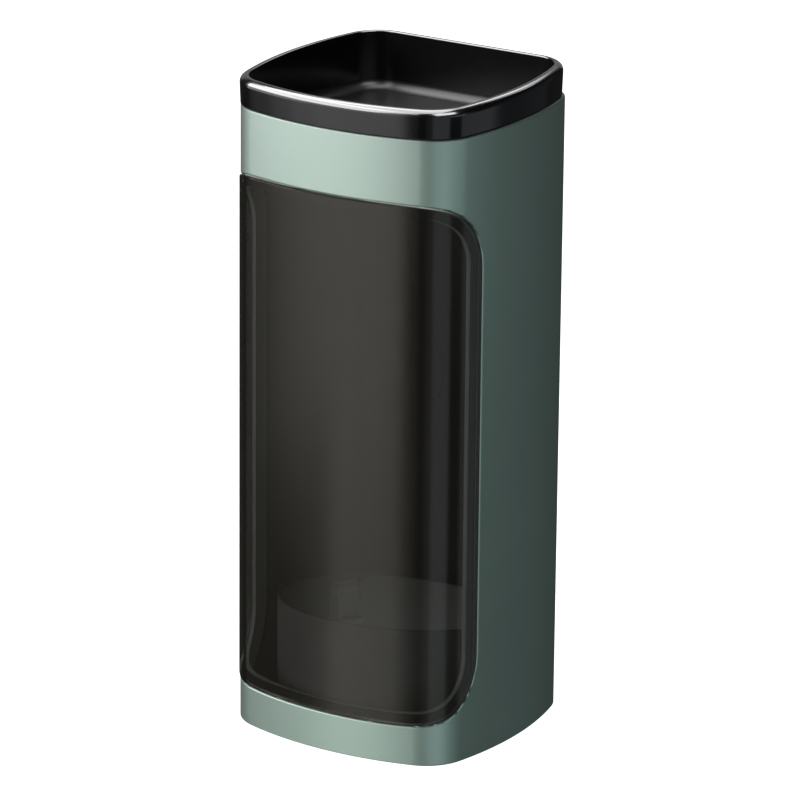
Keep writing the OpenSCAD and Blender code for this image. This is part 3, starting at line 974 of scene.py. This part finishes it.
warm = (1.05, 0.95, 1.02)
cool = (0.9, 1, 1.08)
wall_panel("front_high", (-40, -1.5), (0, 0.9), 2.25, warm)
wall_panel("left_high", (-76, -40), (0, 0.9), 3.35, warm)
wall_panel("front_mid", (-38, -1.5), (-0.25, 0), 1.56)
wall_panel("front_low", (-30, -1.5), (-0.7, -0.25), 1.08)
wall_panel("front_low_left", (-38, -30), (-0.7, -0.25), 0.25)
wall_panel("left_mid", (-48, -38), (-0.25, 0), 1.22)
wall_panel("left_far", (-57, -48), (-0.25, 0), 0.73)
wall_panel("left_end", (-68, -57), (-0.25, 0), 0.29)
wall_panel("right_near", (24, 38), (-0.7, 0.4), 0.167, cool)
wall_panel("right_strip", (38, 77), (-0.7, 0), 0.64, cool)
wall_panel("right_strip_high", (38, 77), (0, 0.8), 0.55, cool)
wall_panel("right_foot", (45, 100), (-1, -0.45), 0.32, cool)
wall_panel("corner_high", (77, 118), (-0.03, 0.35), 1.02, cool)
wall_panel("right_low", (135, 165), (-0.7, -0.03), 0.05, cool)
wall_panel("right_high", (128, 165), (-0.03, 0.4), 0.05, cool)
wall_panel("back_fill", (-178, -115), (0.1, 0.8), 0.22)
soft_panel("bounce", -33, -58, 0.9, 0.5, 1)

# The pane, its frame, the black back and the tray have panels of their own, kept off the satin shell
frame_only = bpy.data.collections.new("frame_only")
frame_only.objects.link(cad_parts["window_frame"])
frame_fill = wall_panel("frame_fill", (-40, 40), (0, 0.9), 4)
frame_fill.light_linking.receiver_collection = frame_only
back_only = bpy.data.collections.new("back_only")
for piece in (panel, pads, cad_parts["magnets"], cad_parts["back_screws"]):
    back_only.objects.link(piece)
back_key = wall_panel("back_key", (150, 205), (0.1, 0.9), 5)
back_key.light_linking.receiver_collection = back_only
gloss_only = bpy.data.collections.new("gloss_only")
gloss_only.objects.link(pane)
gloss_only.objects.link(tray)
rim_only = bpy.data.collections.new("rim_only")
rim_only.objects.link(tray)
right_pane = wall_panel("right_pane", (108, 135), (-0.7, -0.03), 0.43, cool)
right_pane.light_linking.receiver_collection = gloss_only
for rim_lamp in (soft_panel("rim_key", -45, 34, 1.3, 0.8, 18),
                 soft_panel("rim_top", -60, 80, 1.2, 1.2, 16),
                 soft_panel("rim_right", 70, 42, 0.8, 0.5, 22),
                 soft_panel("rim_left", -118, 55, 1, 0.35, 7),
                 soft_panel("rim_back", 178, 36, 0.6, 0.3, 4),
                 soft_panel("rim_low", -147, 18, 1.4, 0.5, 0.22),
                 soft_panel("rim_corner", -158, 46, 0.7, 0.4, 5)):
    rim_lamp.light_linking.receiver_collection = rim_only
    rim_lamp.visible_diffuse = False

world = bpy.data.worlds.new("studio")
bpy.context.scene.world = world
world.use_nodes = True
world.node_tree.nodes["Background"].inputs["Color"].default_value = (1, 1, 1, 1)
world.node_tree.nodes["Background"].inputs["Strength"].default_value = 0.03

bpy.ops.object.select_all(action="DESELECT")
bpy.ops.object.camera_add()
camera = bpy.context.object
camera.data.sensor_width = 36
camera.data.lens = 242.06
camera_place = (0.96239, -1.47819, 0.67909)
camera_azimuth = 0.5767
camera_fall = 0.3098
camera_roll = 0.0099
camera.matrix_world = (
    Matrix.Translation(camera_place)
    @ Matrix.Rotation(camera_azimuth, 4, "Z")
    @ Matrix.Rotation(math.pi / 2 - camera_fall, 4, "X")
    @ Matrix.Rotation(camera_roll, 4, "Z"))
bpy.context.scene.camera = camera
bpy.context.scene.view_settings.view_transform = "Standard"
